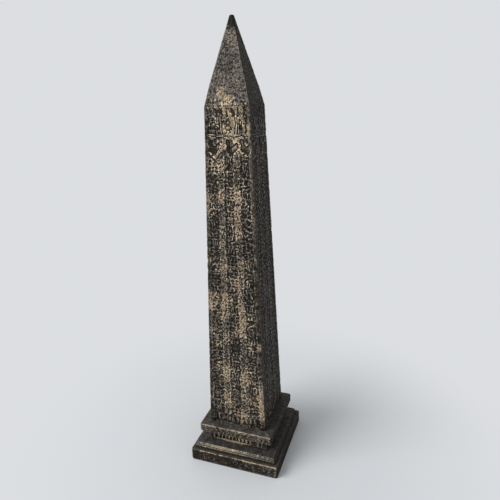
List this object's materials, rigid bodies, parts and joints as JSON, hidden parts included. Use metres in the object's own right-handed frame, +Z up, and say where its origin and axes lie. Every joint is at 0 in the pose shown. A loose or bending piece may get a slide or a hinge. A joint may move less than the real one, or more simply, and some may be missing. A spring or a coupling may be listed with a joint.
{
  "type": "small decorative obelisk",
  "caption": "Cast model of an Egyptian obelisk: tapered shaft with sunken inscription columns and a blunt pyramid tip, on a stepped pedestal.",
  "frame": {"origin": "centre of the felt pad's underside, where the object stands", "axes": "+Z up along the shaft; -Y is the front face; the four sides are alike"},
  "size_m": [0.0844, 0.0844, 0.382],
  "materials": {
    "felt": "thin black felt",
    "pedestal_casting": "filled cast resin, near-black patina with tan-gold dry brushing, satin",
    "shaft_casting": "filled cast resin, near-black patina with tan-gold dry brushing on the raised relief, satin"
  },
  "bodies": {
    "root": {"felt_pad": "felt", "pedestal_plinth": "pedestal_casting", "pedestal_step": "pedestal_casting", "pedestal_neck": "pedestal_casting", "pedestal_cap": "pedestal_casting", "shaft": "shaft_casting"}
  },
  "joints": []
}
